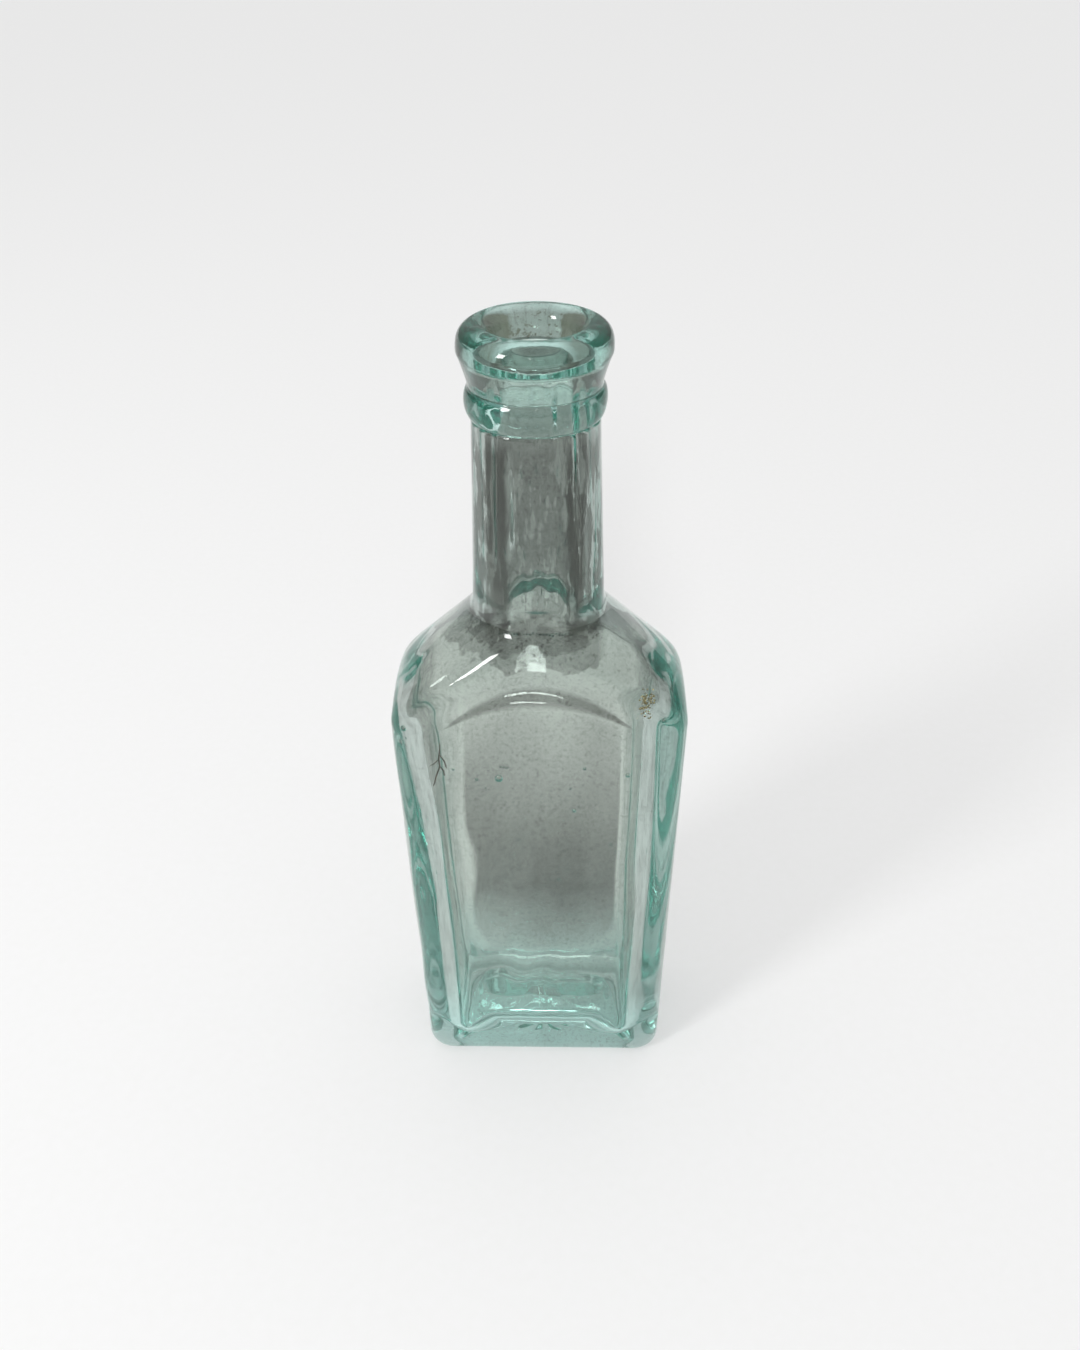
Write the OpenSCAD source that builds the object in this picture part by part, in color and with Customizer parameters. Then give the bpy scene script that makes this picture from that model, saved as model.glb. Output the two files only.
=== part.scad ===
// Antique mould-blown panel bottle: a rectangular body with a domed shoulder, a stout neck,
// an applied string ring and an applied flared lip. The mouth is open.
// Millimetres. Origin at the centre of the foot, +Z up the neck, +X across the broad front panel,
// -Y out of the front panel.

/* [Body] */
// Width across the broad panel, just below the shoulders
body_w = 60; // [52:0.5:76]
// Depth from front panel to back panel, just below the shoulders
body_d = 32; // [30:0.5:42]
// Width of the foot
foot_w = 56.4; // [46:0.1:68]
// Depth of the foot
foot_d = 30.4; // [28:0.1:38]
// Height at which the sides start to turn into the shoulders
shoulder_z = 101.5; // [84:0.5:122]
// Radius of the upright outside corners
corner_r = 5.7; // [3:0.1:8]
// Radius of the heel, where the walls turn under
heel_r = 4; // [2:0.1:6]

/* [Shoulder] */
// Radius of the turn from side wall to shoulder slope
shoulder_r = 9; // [5:0.5:12]
// Height at which the shoulder has become the neck
neck_z = 124; // [116:0.5:148]
// Radius of the hollow curve between shoulder and neck
neck_foot_r = 4; // [2:0.5:6]

/* [Neck] */
// Outside radius of the neck at its foot
neck_bottom_r = 13; // [11.7:0.1:14.5]
// Outside radius of the neck just under the string ring
neck_top_r = 11.7; // [11:0.1:13]
// Length of the plain neck, from its foot to the string ring
neck_len = 37.4; // [30:0.1:48]

/* [Mouth] */
// Radius of the mouth bore, which takes a cork
bore_r = 7.4; // [6.2:0.1:8.8]
// Outside radius of the neck end, which carries ring and lip
finish_r = 11.1; // [10:0.1:11.6]

/* [String ring] */
// Widest radius of the string ring
ring_r = 12.85; // [12.2:0.05:15]
// Height of the string ring
ring_h = 5.8; // [4:0.1:8]

/* [Lip] */
// Height of the lip, from the string ring to the rim
lip_h = 10.6; // [8:0.1:13]
// Radius of the lip where it meets the string ring
lip_root_r = 12.1; // [11.8:0.05:13]
// Widest radius of the lip
lip_r = 13.85; // [13.2:0.05:17]
// Height of the widest part above the lip's lower edge
lip_wide_h = 6; // [4:0.1:7]
// Thickness of lip glass laid over the neck end
lip_cover = 5.6; // [4:0.1:7]
// Height of the rounded turn below the lip's widest part
lip_turn_h = 1.4; // [0.5:0.1:2.5]
// How far that turn draws in
lip_turn_in = 0.35; // [0.1:0.05:1]
// Radius of the rounded mouth edge
mouth_edge_r = 2.6; // [1:0.1:3.5]

/* [Glass thickness] */
// Wall thickness of the front and back panels
face_wall = 3; // [2:0.1:5]
// Wall thickness of the narrow sides
side_wall = 4.2; // [2.5:0.1:6]
// How far the inside shoulder turn sits below the outside one
shoulder_drop = 2; // [0.5:0.1:5]
// How much bigger the hollow curve is inside the throat than outside the neck
throat_extra = 2; // [0.5:0.1:4]
// How far the throat starts above the neck foot
throat_rise = 1; // [0:0.1:3]
// Height of the inside floor round the kick
floor_z = 5; // [4:0.1:9]
// Radius of the upright inside corners
inner_corner_r = 8; // [4:0.5:10]
// Radius of the bottom inside corners, seen from the front
inner_heel_r = 12; // [6:0.5:16]
// Radius of the floor's front and back edges
floor_edge_r = 5; // [2:0.5:8]

/* [Foot hollow] */
// Height of the hollow pushed up into the foot
hollow_h = 7.5; // [6:0.1:9]
// Width of the flat rim that the bottle stands on
rim_w = 5.5; // [4:0.1:5.7]
// How far the hollow's walls lean in on their way up
hollow_lean = 8; // [5:0.1:8]
// Width of the glass round and over the hollow, which stands up inside as the kick
kick_t = 4; // [3:0.1:5]

/* [Hidden] */
$fn = 96;

ring_z = neck_z + neck_len;
lip_z = ring_z + ring_h;
rim_z = lip_z + lip_h;
neck_end_z = rim_z - lip_cover;
cavity_w = body_w - 2 * side_wall;
cavity_d = body_d - 2 * face_wall;
cavity_foot_w = foot_w - 2 * side_wall;
cavity_foot_d = foot_d - 2 * face_wall;
throat_r = neck_foot_r + throat_extra;
throat_z = neck_z + throat_rise;
inner_shoulder_z = shoulder_z - shoulder_drop;
arc_steps = 14;
cut = 0.1;
far = 60;
glass_tint = [0.62, 0.80, 0.76, 0.5];
ring_tint = [0.30, 0.58, 0.54, 0.6];
lip_tint = [0.52, 0.74, 0.70, 0.5];

// Points of an arc about a centre, from one angle to another
function arc(cx, cy, r, from, to) =
    [for (i = [0 : arc_steps]) let (a = from + (to - from) * i / arc_steps)
        [cx + r * cos(a), cy + r * sin(a)]];

// Outward angle of the straight slope that is tangent to a convex turn and a hollow turn
function slope_angle(turn, turn_r, hollow, hollow_r) =
    let (d = hollow - turn)
    atan2(d[1], d[0]) - acos((turn_r + hollow_r) / norm(d));

// Right half of an upright outline: bottom corner, side wall, shoulder turn, slope, hollow curve
function half_outline(foot, waist, z0, heel, turn_z, turn_r, neck, top_z, hollow_r) =
    let (turn = [waist / 2 - turn_r, turn_z], hollow = [neck + hollow_r, top_z],
         a = slope_angle(turn, turn_r, hollow, hollow_r))
    concat(arc(foot / 2 - heel, z0 + heel, heel, -90, 0),
        arc(turn[0], turn[1], turn_r, 0, a),
        arc(hollow[0], hollow[1], hollow_r, a + 180, 180));

// Whole outline, mirrored about the upright axis
module outline(half) {
    polygon(concat(half, [for (i = [len(half) - 1 : -1 : 0]) [-half[i][0], half[i][1]]]));
}

// Rectangle with rounded corners
module rounded_rect(w, d, r) {
    x = w / 2 - r;
    y = d / 2 - r;
    polygon(concat(arc(x, y, r, 0, 90), arc(-x, y, r, 90, 180),
        arc(-x, -y, r, 180, 270), arc(x, -y, r, 270, 360)));
}

// Upright block with rounded corners that widens evenly from z0 to z1, then goes straight up
module tapered_block(w0, d0, w1, d1, r, z0, z1, top) {
    translate([0, 0, z0])
        linear_extrude(z1 - z0, scale = [w1 / w0, d1 / d0], slices = 1) rounded_rect(w0, d0, r);
    translate([0, 0, z1]) linear_extrude(top - z1) rounded_rect(w1, d1, r);
}

// Outline seen from the front, as a bar through the whole depth
module front_bar(half) {
    rotate([90, 0, 0]) linear_extrude(2 * far, center = true) outline(half);
}

// Outline seen from the side, as a bar across the whole width
module side_bar(half) {
    rotate([90, 0, 90]) linear_extrude(2 * far, center = true) outline(half);
}

// Round dome whose slope continues the front outline's slope down and outward
module dome(waist, turn_z, turn_r, neck, top_z, hollow_r) {
    turn = [waist / 2 - turn_r, turn_z];
    hollow = [neck + hollow_r, top_z];
    a = slope_angle(turn, turn_r, hollow, hollow_r);
    low = [hollow[0] - hollow_r * cos(a), hollow[1] - hollow_r * sin(a)];
    rotate_extrude() polygon(concat(
        [[0, -cut], [far, -cut], [far, low[1] - (far - low[0]) * cos(a) / sin(a)]],
        arc(hollow[0], hollow[1], hollow_r, a + 180, 180), [[0, top_z]]));
}

// Solid outer form of the body and shoulders
module body_form() {
    intersection() {
        tapered_block(foot_w, foot_d, body_w, body_d, corner_r, 0, shoulder_z, neck_z);
        front_bar(half_outline(foot_w, body_w, 0, heel_r, shoulder_z, shoulder_r,
            neck_bottom_r, neck_z, neck_foot_r));
        side_bar([[foot_d / 2 - heel_r, 0], each arc(foot_d / 2 - heel_r, heel_r, heel_r, -90, 0),
            [body_d / 2, shoulder_z], [body_d / 2, neck_z]]);
        dome(body_w, shoulder_z, shoulder_r, neck_bottom_r, neck_z, neck_foot_r);
    }
}

// Hollow inside of the body and shoulders
module cavity_form() {
    intersection() {
        tapered_block(cavity_foot_w, cavity_foot_d, cavity_w, cavity_d, inner_corner_r,
            floor_z, shoulder_z, throat_z);
        front_bar(half_outline(cavity_foot_w, cavity_w, floor_z, inner_heel_r, inner_shoulder_z,
            shoulder_r, bore_r, throat_z, throat_r));
        side_bar([[cavity_foot_d / 2 - floor_edge_r, floor_z],
            each arc(cavity_foot_d / 2 - floor_edge_r, floor_z + floor_edge_r, floor_edge_r, -90, 0),
            [cavity_d / 2, shoulder_z], [cavity_d / 2, throat_z]]);
        dome(cavity_w, inner_shoulder_z, shoulder_r, bore_r, throat_z, throat_r);
    }
}

// A width that the hollow's leaning walls have drawn in over a height
function drawn_in(size, height) = size - 2 * hollow_lean * height / hollow_h;

// Block from z0 to z1 whose walls lean like the hollow's and stand t outside them
module leaning_block(t, z0, z1) {
    w = drawn_in(foot_w - 2 * rim_w + 2 * t, z0);
    d = drawn_in(foot_d - 2 * rim_w + 2 * t, z0);
    translate([0, 0, z0]) linear_extrude(z1 - z0, slices = 1,
        scale = [drawn_in(w, z1 - z0) / w, drawn_in(d, z1 - z0) / d]) rounded_rect(w, d, corner_r);
}

// Hollow pushed up into the foot
module foot_hollow() {
    leaning_block(0, -cut, hollow_h);
}

// Glass that the hollow pushes up through the inside floor
module kick() {
    leaning_block(kick_t, floor_z / 2, hollow_h + kick_t);
}

// The one gather of glass blown in the mould: body, shoulders and neck
module blown_vessel() {
    color(glass_tint) difference() {
        union() {
            body_form();
            translate([0, 0, neck_z]) cylinder(neck_len, neck_bottom_r, neck_top_r);
            translate([0, 0, ring_z]) cylinder(neck_end_z - ring_z, finish_r, finish_r);
        }
        difference() {
            cavity_form();
            kick();
        }
        translate([0, 0, throat_z]) cylinder(rim_z - throat_z, bore_r, bore_r);
        foot_hollow();
    }
}

// Trail of glass wound round the neck end, resting on the neck's small ledge
module string_ring() {
    half = ring_h / 2;
    bulge = ring_r - neck_top_r;
    arc_r = (half * half + bulge * bulge) / (2 * bulge);
    swing = asin(half / arc_r);
    color(ring_tint) translate([0, 0, ring_z]) rotate_extrude() polygon(concat(
        [[finish_r, 0]],
        arc(ring_r - arc_r, half, arc_r, -swing, swing),
        [[finish_r, ring_h]]));
}

// Glass laid over the neck end and tooled into a flared, rounded lip
module applied_lip() {
    top_h = lip_h - lip_wide_h;
    crown_w = lip_r - bore_r - mouth_edge_r;
    color(lip_tint) translate([0, 0, lip_z]) rotate_extrude() polygon(concat(
        [[finish_r, 0], [lip_root_r, 0], [lip_r - lip_turn_in, lip_wide_h - lip_turn_h]],
        [for (i = [0 : arc_steps]) let (a = 90 * i / arc_steps)
            [bore_r + mouth_edge_r + crown_w * cos(a), lip_wide_h + top_h * sin(a)]],
        arc(bore_r + mouth_edge_r, lip_h - mouth_edge_r, mouth_edge_r, 90, 180),
        [[bore_r, lip_h - lip_cover], [finish_r, lip_h - lip_cover]]));
}

blown_vessel();
string_ring();
applied_lip();
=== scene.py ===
"""Antique panel bottle: a blown vessel with a string ring and a flared lip laid on its neck.

Metres, Z up, origin at the centre of the foot. The broad front panel faces -Y.
"""

import logging
import math
from dataclasses import dataclass, field
from enum import Enum
from typing import Optional, Sequence, Union

import bpy
import numpy as np
from mathutils import Matrix, Vector


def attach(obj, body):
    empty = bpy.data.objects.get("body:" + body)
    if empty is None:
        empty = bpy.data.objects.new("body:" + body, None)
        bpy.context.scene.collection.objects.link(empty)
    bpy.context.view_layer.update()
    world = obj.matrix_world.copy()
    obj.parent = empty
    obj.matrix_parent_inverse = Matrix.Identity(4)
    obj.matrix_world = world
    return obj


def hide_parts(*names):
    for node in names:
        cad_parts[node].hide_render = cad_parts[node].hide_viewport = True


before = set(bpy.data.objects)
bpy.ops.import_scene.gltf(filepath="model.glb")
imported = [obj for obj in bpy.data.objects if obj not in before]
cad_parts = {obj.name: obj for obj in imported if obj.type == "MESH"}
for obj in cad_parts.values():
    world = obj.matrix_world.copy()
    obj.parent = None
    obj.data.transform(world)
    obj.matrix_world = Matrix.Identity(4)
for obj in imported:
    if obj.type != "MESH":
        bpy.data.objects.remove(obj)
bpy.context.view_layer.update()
MM = 0.001
LOG = logging.getLogger("bottle")

Number = Union[int, float]
Operand = Union["Value", Number]
Span = tuple[float, float]
Triple = tuple[float, float, float]
Colour = Triple


# ---------------------------------------------------------------------------
# Shader building
# ---------------------------------------------------------------------------


class Value:
    """A shader socket that holds one number, with arithmetic that adds Math nodes."""

    def __init__(self, tree: bpy.types.NodeTree, socket: bpy.types.NodeSocket) -> None:
        """Wrap an output socket of a node tree."""
        self.tree = tree
        self.socket = socket

    def _math(self, operation: str, first: Operand, second: Operand, clamp: bool = False) -> "Value":
        """Add one Math node.

        Args:
            operation: The Math node's operation.
            first: The left operand.
            second: The right operand.
            clamp: Whether the result is held between 0 and 1.

        Returns:
            The result as a new value.
        """
        node = self.tree.nodes.new("ShaderNodeMath")
        node.operation = operation
        node.use_clamp = clamp
        for slot, operand in zip(node.inputs, (first, second)):
            if isinstance(operand, Value):
                self.tree.links.new(operand.socket, slot)
            else:
                slot.default_value = operand
        return Value(self.tree, node.outputs[0])

    def __add__(self, other: Operand) -> "Value":
        """Sum."""
        return self._math("ADD", self, other)

    def __radd__(self, other: Operand) -> "Value":
        """Sum, reflected."""
        return self._math("ADD", other, self)

    def __sub__(self, other: Operand) -> "Value":
        """Difference."""
        return self._math("SUBTRACT", self, other)

    def __rsub__(self, other: Operand) -> "Value":
        """Difference, reflected."""
        return self._math("SUBTRACT", other, self)

    def __mul__(self, other: Operand) -> "Value":
        """Product."""
        return self._math("MULTIPLY", self, other)

    def __rmul__(self, other: Operand) -> "Value":
        """Product, reflected."""
        return self._math("MULTIPLY", other, self)

    def __truediv__(self, other: Operand) -> "Value":
        """Quotient."""
        return self._math("DIVIDE", self, other)

    def __rtruediv__(self, other: Operand) -> "Value":
        """Quotient, reflected."""
        return self._math("DIVIDE", other, self)

    def __pow__(self, other: Operand) -> "Value":
        """Power."""
        return self._math("POWER", self, other)

    def __rpow__(self, other: Operand) -> "Value":
        """Power, reflected."""
        return self._math("POWER", other, self)

    def __neg__(self) -> "Value":
        """The same size with the other sign."""
        return self._math("SUBTRACT", 0.0, self)

    def direction(self, ahead: "Value") -> "Value":
        """Angle about the upright axis, in radians: 0 straight ahead, and positive to the right."""
        return self._math("ARCTAN2", self, ahead)

    def band(self, low: float, high: float) -> "Value":
        """Rise from 0 at low to 1 at high, held between the two."""
        scaled = (self - low) / (high - low)
        return self._math("MULTIPLY", scaled, 1.0, clamp=True)


NodeInput = Union[Value, bpy.types.NodeSocket, Number, Sequence[float]]


@dataclass(frozen=True)
class Grain:
    """A fractal noise: features in a metre, finer layers, their strength, and the stretch of each axis."""

    scale: float
    detail: float = 3.0
    rough: float = 0.5
    stretch: Triple = (1.0, 1.0, 1.0)


class Graph:
    """A node tree under construction."""

    def __init__(self, tree: bpy.types.NodeTree, output: str) -> None:
        """Empty a tree and add its output node.

        Args:
            tree: The tree.
            output: The output node's type, without its ShaderNode prefix.
        """
        self.tree = tree
        self.tree.nodes.clear()
        self.out = self.tree.nodes.new("ShaderNode" + output)

    def node(self, kind: str, settings: Optional[dict] = None, **inputs: NodeInput) -> bpy.types.Node:
        """Add one node.

        Args:
            kind: The node's type, without its ShaderNode prefix.
            settings: The node's own properties, set before its inputs. A ramp's stops go under
                "stops" as (position, colour) pairs.
            **inputs: Values or links by socket name, with _ for a space, or in0, in1 for a place.

        Returns:
            The new node.
        """
        node = self.tree.nodes.new("ShaderNode" + kind)
        for key, setting in (settings or {}).items():
            if key == "stops":
                ramp = node.color_ramp
                while len(ramp.elements) < len(setting):
                    ramp.elements.new(0.5)
                for element, (position, colour) in zip(ramp.elements, setting):
                    element.position = position
                    element.color = colour
            else:
                setattr(node, key, setting)
        for key, source in inputs.items():
            place = int(key[2:]) if key[:2] == "in" and key[2:].isdigit() else key.replace("_", " ")
            self.feed(node.inputs[place], source)
        return node

    def feed(self, socket: bpy.types.NodeSocket, source: NodeInput) -> None:
        """Set or link one input socket.

        Args:
            socket: The input.
            source: A number, a vector, a value or an output socket.
        """
        if isinstance(source, Value):
            self.tree.links.new(source.socket, socket)
        elif isinstance(source, bpy.types.NodeSocket):
            self.tree.links.new(source, socket)
        else:
            socket.default_value = source

    def value(self, socket: bpy.types.NodeSocket) -> Value:
        """Wrap an output socket for arithmetic."""
        return Value(self.tree, socket)

    def noise(self, grain: Grain) -> Value:
        """Fractal noise over the object.

        Args:
            grain: How coarse and how rough it is.

        Returns:
            The noise, about 0.3 to 0.7.
        """
        node = self.node(
            "TexNoise", None, Vector=self.place(grain.stretch), Scale=grain.scale, Detail=grain.detail,
            Roughness=grain.rough)
        return self.value(node.outputs["Fac"])

    def place(self, stretch: Sequence[float] = (1.0, 1.0, 1.0)) -> bpy.types.NodeSocket:
        """Object coordinates, with each axis multiplied by its stretch."""
        coordinates = self.node("TexCoord").outputs["Object"]
        return self.node("VectorMath", {"operation": "MULTIPLY"}, in0=coordinates, in1=stretch).outputs[0]

    def blend(self, share: Value, first: NodeInput, second: NodeInput) -> bpy.types.NodeSocket:
        """Mix two colours or links: a share of 0 gives the first, and 1 the second."""
        return self.node("Mix", {"data_type": "RGBA"}, in0=share, in6=first, in7=second).outputs[2]


class Finish(Graph):
    """A material under construction."""

    def __init__(self, name: str) -> None:
        """Start an empty node material.

        Args:
            name: The material's name.
        """
        self.material = bpy.data.materials.new(name)
        self.material.use_nodes = True
        super().__init__(self.material.node_tree, "OutputMaterial")

    def done(self, surface: bpy.types.Node) -> bpy.types.Material:
        """Give the material its surface shader, and return it."""
        self.feed(self.out.inputs["Surface"], surface.outputs[0])
        return self.material


class Ground:
    """What the painted shade and the dirt on the glass are worked out from: places on the glass, and two
    noises.
    """

    def __init__(self, finish: Finish, spots: Value, drift: Value) -> None:
        """Split the place into its three parts.

        Args:
            finish: The material under construction.
            spots: A fine noise.
            drift: A slow noise.
        """
        split = finish.node("SeparateXYZ", None, Vector=finish.place())
        self.finish = finish
        self.spots = spots
        self.drift = drift
        self.x, self.y, self.z = (finish.value(split.outputs[axis]) for axis in "XYZ")
        self.x_square = self.x * self.x
        self.from_axis = (self.x_square + self.y * self.y) ** 0.5


@dataclass(frozen=True)
class NeckShade:
    """Painted shade on the neck, where it shows its dark surroundings: two dark bands at the front, dark
    flanks, and ragged pale streaks between with less shade.
    """

    foot: Span = (119.0 * MM, 127.0 * MM)
    head: Span = (157.0 * MM, 166.0 * MM)
    outer_wall: Span = (9.2 * MM, 9.8 * MM)
    front: Span = (-2.0 * MM, 0.0)
    band_turn: float = 0.62
    left_fade: Span = (0.012, 0.060)
    right_fade: Span = (0.004, 0.045)
    flank_fade: Span = (0.50, 0.80)
    wander: Grain = Grain(70.0, 4.0, 0.6, (0.4, 0.4, 1.0))
    wander_turn: float = 0.55
    streak: Grain = Grain(420.0, 5.0, 0.7, (1.0, 1.0, 0.22))
    streak_edge: Span = (0.51, 0.55)
    darkening: float = 0.48
    front_shade: float = 0.52
    band_shade: float = 0.60
    flank_shade: float = 0.40
    streak_lift: float = 0.66

    def darkness(self, ground: Ground) -> Value:
        """How much shade is painted on the neck.

        Args:
            ground: Places and noises.

        Returns:
            The painted shade, 0 to 1.
        """
        streak = ground.finish.noise(self.streak)
        wander = self.wander_turn * (ground.finish.noise(self.wander) - 0.5)
        turn = ground.x.direction(-ground.y) + wander
        off_left, off_right = turn + self.band_turn, turn - self.band_turn
        left_band = 1.0 - (off_left * off_left).band(*self.left_fade)
        right_band = 1.0 - (off_right * off_right).band(*self.right_fade)
        flank = (turn * turn).band(*self.flank_fade)
        outer_front = ground.from_axis.band(*self.outer_wall) * (1.0 - ground.y.band(*self.front))
        pale = streak.band(*self.streak_edge) * (1.0 - left_band)
        # Painted shade: dark bands and flanks on the neck's front, broken by pale streaks.
        front = (self.front_shade + self.band_shade * left_band + self.band_shade * right_band
                 + self.flank_shade * flank - self.streak_lift * pale)
        here = ground.z.band(*self.foot) * (1.0 - ground.z.band(*self.head))
        return here * (self.darkening + outer_front * (front.band(0.0, 1.0) - self.darkening))


@dataclass(frozen=True)
class PanelShade:
    """Painted shade on the back panel, with rounded lower corners and a darker painted cloud low down."""

    back: Span = (6.0 * MM, 9.0 * MM)
    top: Span = (81.0 * MM, 86.0 * MM)
    corner_x: float = 9.0 * MM
    corner_z: float = 19.0 * MM
    edge: Span = (8.8 * MM, 9.7 * MM)
    cloud_foot: Span = (12.0 * MM, 30.0 * MM)
    cloud_head: Span = (44.0 * MM, 80.0 * MM)
    darkening: float = 0.15
    cloud_shade: float = 0.58

    def darkness(self, ground: Ground) -> Value:
        """How much shade is painted on the back panel.

        Args:
            ground: Places and noises.

        Returns:
            The painted shade, 0 to 1.
        """
        past_x = (ground.x_square ** 0.5 - self.corner_x).band(0.0, 1.0)
        past_z = (self.corner_z - ground.z).band(0.0, 1.0)
        from_corner = (past_x * past_x + past_z * past_z) ** 0.5
        panel = ground.y.band(*self.back) * (1.0 - from_corner.band(*self.edge))
        panel = panel * (1.0 - ground.z.band(*self.top))
        cloud = ground.z.band(*self.cloud_foot) * (1.0 - ground.z.band(*self.cloud_head))
        # Painted shade: the back panel darker, and darker still in a cloud low down.
        return panel * (self.darkening + self.cloud_shade * cloud)


@dataclass(frozen=True)
class CrescentShade:
    """Painted shade: a dark crescent inside the front wall, below the shoulder."""

    crest_z: float = 108.5 * MM
    bow: float = 21.5
    half_width: float = 2.6 * MM
    narrowing: float = 6.8
    inner: Span = (-14.8 * MM, -14.2 * MM)
    outer: Span = (-10.0 * MM, -9.0 * MM)
    tip: Span = (0.0, 0.6 * MM)
    soft_edge: Span = (0.0, 0.9)
    darkening: float = 0.80

    def darkness(self, ground: Ground) -> Value:
        """How dark the crescent is.

        Args:
            ground: Places and noises.

        Returns:
            The painted shade, 0 to 1.
        """
        never_zero = 1e-8
        above = ground.z + self.bow * ground.x_square - self.crest_z
        width = self.half_width - self.narrowing * ground.x_square
        inner_front = ground.y.band(*self.inner) * (1.0 - ground.y.band(*self.outer))
        crescent = (1.0 - above * above / (width * width + never_zero)).band(*self.soft_edge)
        # Painted shade: the dark crescent.
        return self.darkening * (crescent * inner_front * width.band(*self.tip))


@dataclass(frozen=True)
class ShoulderShade:
    """Painted shade on the shoulder: a darker ragged patch at the front over a bright refraction, a dark
    line along its right ridge, and a darker right side.
    """

    ragged: Grain = Grain(210.0, 4.0)
    ragged_z: float = 10.0 * MM
    foot: Span = (116.3 * MM, 116.8 * MM)
    head: Span = (122.5 * MM, 125.0 * MM)
    front: Span = (-4.0 * MM, 0.0)
    middle_z: float = 119.0 * MM
    left_lean: float = 0.3
    left: Span = (-21.0 * MM, -20.0 * MM)
    right: Span = (11.5 * MM, 13.5 * MM)
    patch_shade: float = 0.62
    ridge_x: float = 15.0 * MM
    ridge_z: float = 121.5 * MM
    ridge_slope: float = 1.30
    ridge_fade: Span = (0.0000002, 0.0000030)
    ridge_start: Span = (13.0 * MM, 15.0 * MM)
    ridge_front: Span = (-6.0 * MM, -2.0 * MM)
    ridge_foot: Span = (102.0 * MM, 106.0 * MM)
    ridge_shade: float = 0.45
    side: Span = (10.0 * MM, 20.0 * MM)
    side_foot: Span = (106.0 * MM, 110.0 * MM)
    side_head: Span = (121.0 * MM, 125.0 * MM)
    side_shade: float = 0.16

    def darkness(self, ground: Ground) -> Value:
        """How much shade is painted on the shoulder.

        Args:
            ground: Places and noises.

        Returns:
            The painted shade, 0 to 1.
        """
        x, y, z = ground.x, ground.y, ground.z
        ragged = z + self.ragged_z * (ground.finish.noise(self.ragged) - 0.5)
        patch = ragged.band(*self.foot) * (1.0 - ragged.band(*self.head)) * (1.0 - y.band(*self.front))
        leaning = x + self.left_lean * (ragged - self.middle_z)
        patch = patch * leaning.band(*self.left) * (1.0 - x.band(*self.right))
        off_ridge = z + self.ridge_slope * (x - self.ridge_x) - self.ridge_z
        ridge = (1.0 - (off_ridge * off_ridge).band(*self.ridge_fade)) * x.band(*self.ridge_start)
        ridge = ridge * (1.0 - y.band(*self.ridge_front)) * z.band(*self.ridge_foot)
        side = x.band(*self.side) * z.band(*self.side_foot) * (1.0 - z.band(*self.side_head))
        # Painted shade: the patch, the ridge line and the right side of the shoulder.
        return self.patch_shade * patch + self.ridge_shade * ridge + self.side_shade * side


@dataclass(frozen=True)
class SideDarkening:
    """Darker, streaky tone on the narrow sides of the body."""

    side: Span = (0.00036, 0.00046)
    foot: Span = (6.0 * MM, 16.0 * MM)
    head: Span = (108.0 * MM, 122.0 * MM)
    streak: Grain = Grain(900.0, 4.0, 0.7, (1.0, 1.0, 0.12))
    streak_edge: Span = (0.45, 0.7)
    darkening: float = 0.16
    streak_darkening: float = 0.40

    def darkness(self, ground: Ground) -> Value:
        """How much darker the narrow sides are.

        Args:
            ground: Places and noises. The sides lie where the square of x is past self.side.

        Returns:
            The darkening, 0 to 1.
        """
        streaky = ground.finish.noise(self.streak).band(*self.streak_edge)
        sides = ground.x_square.band(*self.side) * ground.z.band(*self.foot)
        return sides * (1.0 - ground.z.band(*self.head)) * (self.darkening + self.streak_darkening * streaky)


@dataclass(frozen=True)
class MouthDirtAndShade:
    """Dirt spots on the lip and the ring, a darker mouth, and painted shade at their left and right."""

    bore: Span = (8.0 * MM, 9.4 * MM)
    bore_darkening: float = 0.80
    sideways: Span = (0.30, 0.90)
    side_shade: float = 0.88
    spot_edge: Span = (0.5, 0.7)
    spot_film: float = 0.1

    def darkness(self, ground: Ground) -> Value:
        """How much dirt and shade the lip and the ring get.

        Args:
            ground: Places and noises.

        Returns:
            The dirt and painted shade, 0 to 1.
        """
        sideways = ground.x_square / (ground.x_square + ground.y * ground.y)
        mouth = self.bore_darkening * (1.0 - ground.from_axis.band(*self.bore))
        spots = self.spot_film * ground.spots.band(*self.spot_edge)
        # Spots are dirt; the mouth is darker; the left and right get painted shade.
        return spots + mouth + self.side_shade * sideways.band(*self.sideways)


class ShadeAndDirt(Enum):
    """Which painted shade and dirt a piece of glass gets."""

    TOP = (MouthDirtAndShade(),)
    VESSEL = (NeckShade(), PanelShade(), CrescentShade(), ShoulderShade(), SideDarkening())


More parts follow.
